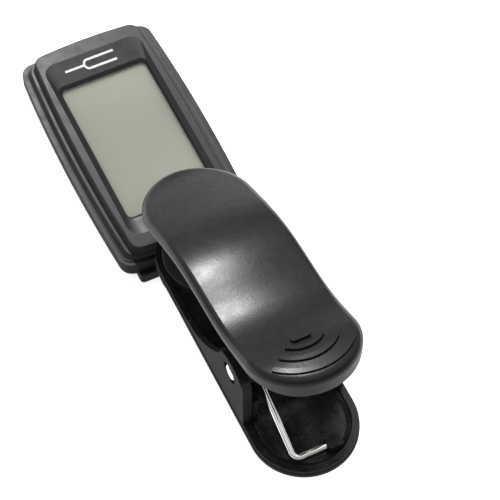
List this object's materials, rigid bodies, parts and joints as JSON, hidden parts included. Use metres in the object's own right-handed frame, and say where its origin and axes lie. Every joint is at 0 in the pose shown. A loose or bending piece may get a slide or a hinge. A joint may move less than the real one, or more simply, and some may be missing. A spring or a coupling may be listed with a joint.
{
  "type": "clip-on instrument tuner",
  "caption": "Clip-on tuner: a framed LCD display that tilts and swivels on a spring clip with rubber pads, a battery door and a power button.",
  "frame": {"origin": "middle of the flat back of the display, on the face that it rests on", "axes": "+Z out of the screen, +Y to the top of the screen, the clip reaches out along -Y"},
  "size_m": [0.0344, 0.1279, 0.0484],
  "materials": {
    "satin_black_plastic": "satin",
    "textured_black_plastic": "fine matte texture",
    "gloss_black_plastic": "gloss",
    "button_grey": "satin",
    "black_rubber": "matte",
    "clear_window": "clear",
    "lcd_glass": "matte film",
    "board_green": "solder mask",
    "chip_black": "matte",
    "brass": "plain",
    "bright_steel": "bright",
    "zinc_steel": "zinc plated",
    "chrome_wire": "polished"
  },
  "bodies": {
    "lower_jaw": {"lower_jaw": "gloss_black_plastic", "lower_pad": "black_rubber", "hinge_pin": "bright_steel", "torsion_spring": "chrome_wire"},
    "upper_lever": {"upper_lever": "textured_black_plastic", "upper_pad": "black_rubber"},
    "swivel_arm": {"swivel_arm": "satin_black_plastic", "swivel_screw": "zinc_steel", "swivel_washer": "zinc_steel", "tilt_pin": "zinc_steel"},
    "display": {"front_bezel": "satin_black_plastic", "rear_housing": "satin_black_plastic", "housing_screws": "zinc_steel", "display_window": "clear_window", "lcd_panel": "lcd_glass", "zebra_strip": "black_rubber", "circuit_board": "board_green", "tuner_chip": "chip_black", "piezo_disc": "brass", "power_switch": "chip_black", "coin_cell": "bright_steel", "battery_contact_minus": "bright_steel", "battery_contact_plus": "bright_steel"},
    "power_button": {"power_button": "button_grey"},
    "battery_door": {"battery_door": "satin_black_plastic"}
  },
  "joints": [
    {"name": "clip_hinge", "type": "hinge", "parent": "lower_jaw", "child": "upper_lever", "pos_m": [0, -0.0732, 0.026], "axis": [1, 0, 0], "range_deg": [0, 30], "stiffness_Nm_per_rad": 0.2, "springref_deg": -57.3, "deforming": ["torsion_spring"]},
    {"name": "display_swivel", "type": "hinge", "parent": "lower_jaw", "child": "swivel_arm", "pos_m": [0, -0.039, 0.0126], "axis": [0, 0, 1], "continuous": true},
    {"name": "display_tilt", "type": "hinge", "parent": "swivel_arm", "child": "display", "pos_m": [0, -0.0335, 0.0029], "axis": [1, 0, 0], "range_deg": [-95, 0]},
    {"name": "power_button_press", "type": "slide", "parent": "display", "child": "power_button", "axis": [0, 0, -1], "range_m": [0, 0.0004], "stiffness_N_per_m": 1500},
    {"name": "battery_door_turn", "type": "hinge", "parent": "display", "child": "battery_door", "pos_m": [0, 0, 0], "axis": [0, 0, -1], "range_deg": [0, 45]}
  ]
}
